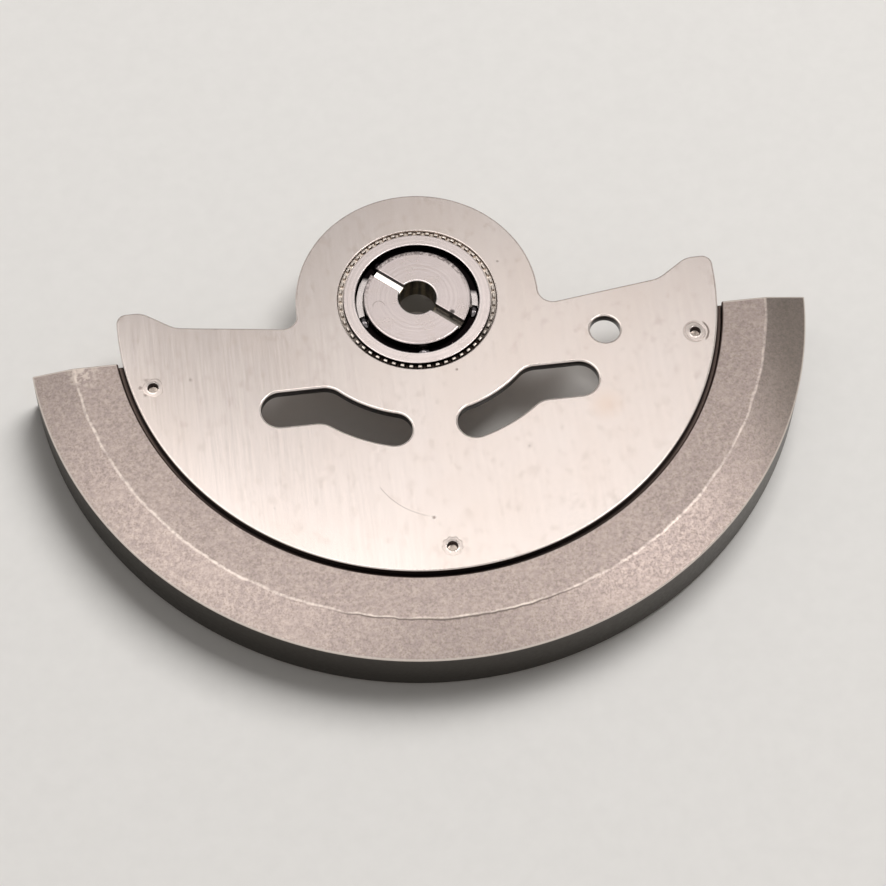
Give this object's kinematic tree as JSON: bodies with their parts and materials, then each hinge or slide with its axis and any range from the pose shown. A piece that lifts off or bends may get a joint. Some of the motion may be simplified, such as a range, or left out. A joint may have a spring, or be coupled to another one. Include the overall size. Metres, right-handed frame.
{
  "type": "automatic watch rotor",
  "caption": "Half-disc winding rotor for an automatic watch: a stamped plate with a heavy half-ring weight, turning on a ball bearing held by a hollow slotted screw.",
  "frame": {"origin": "on the bearing's axis, at the seat of the lower cone on the movement", "axes": "+Z along the bearing's axis out of the watch, so the plate faces +Z; the weight is on the -Y side; +X runs across the half disc to the side with the round hole"},
  "size_m": [0.0262, 0.0173, 0.0024],
  "materials": {
    "plate_nickel": "fine straight brushing under nickel plating",
    "heavy_alloy": "matte sintered heavy alloy, plated",
    "rivet_steel": "upset rim, nickel plated",
    "carrier_steel": "turned and knurled steel",
    "polished_steel": "ground and polished bearing steel",
    "hub_steel": "polished face with faint turning rings",
    "cage_steel": "bright stamped steel",
    "ball_steel": "polished bearing balls"
  },
  "bodies": {
    "hub": {"slotted_hub": "hub_steel", "lower_cone": "hub_steel"},
    "rotor": {"rotor_plate": "plate_nickel", "weight_segment": "heavy_alloy", "stake_rivets": "rivet_steel", "gear_carrier": "carrier_steel", "outer_race": "polished_steel"},
    "cage": {"ball_cage": "cage_steel"},
    "ball_1": {"ball_1": "ball_steel"},
    "ball_2": {"ball_2": "ball_steel"},
    "ball_3": {"ball_3": "ball_steel"},
    "ball_4": {"ball_4": "ball_steel"},
    "ball_5": {"ball_5": "ball_steel"}
  },
  "joints": [
    {"name": "rotor_spin", "type": "hinge", "parent": "hub", "child": "rotor", "pos_m": [0, 0, 0], "axis": [0, 0, 1], "continuous": true},
    {"name": "cage_roll", "type": "hinge", "parent": "hub", "child": "cage", "pos_m": [0, 0, 0], "axis": [0, 0, 1], "continuous": true},
    {"name": "ball_1_roll", "type": "hinge", "parent": "cage", "child": "ball_1", "pos_m": [0, -0.00196, 0.00075], "axis": [0, 0, 1], "continuous": true},
    {"name": "ball_2_roll", "type": "hinge", "parent": "cage", "child": "ball_2", "pos_m": [0.00186, -0.00061, 0.00075], "axis": [0, 0, 1], "continuous": true},
    {"name": "ball_3_roll", "type": "hinge", "parent": "cage", "child": "ball_3", "pos_m": [0.00115, 0.00158, 0.00075], "axis": [0, 0, 1], "continuous": true},
    {"name": "ball_4_roll", "type": "hinge", "parent": "cage", "child": "ball_4", "pos_m": [-0.00115, 0.00158, 0.00075], "axis": [0, 0, 1], "continuous": true},
    {"name": "ball_5_roll", "type": "hinge", "parent": "cage", "child": "ball_5", "pos_m": [-0.00186, -0.00061, 0.00075], "axis": [0, 0, 1], "continuous": true}
  ],
  "couplings": [
    {"joint": "cage_roll", "follows": "rotor_spin", "ratio": 0.54513},
    {"joint": "ball_1_roll", "follows": "rotor_spin", "ratio": 5.4943},
    {"joint": "ball_2_roll", "follows": "rotor_spin", "ratio": 5.4943},
    {"joint": "ball_3_roll", "follows": "rotor_spin", "ratio": 5.4943},
    {"joint": "ball_4_roll", "follows": "rotor_spin", "ratio": 5.4943},
    {"joint": "ball_5_roll", "follows": "rotor_spin", "ratio": 5.4943}
  ]
}
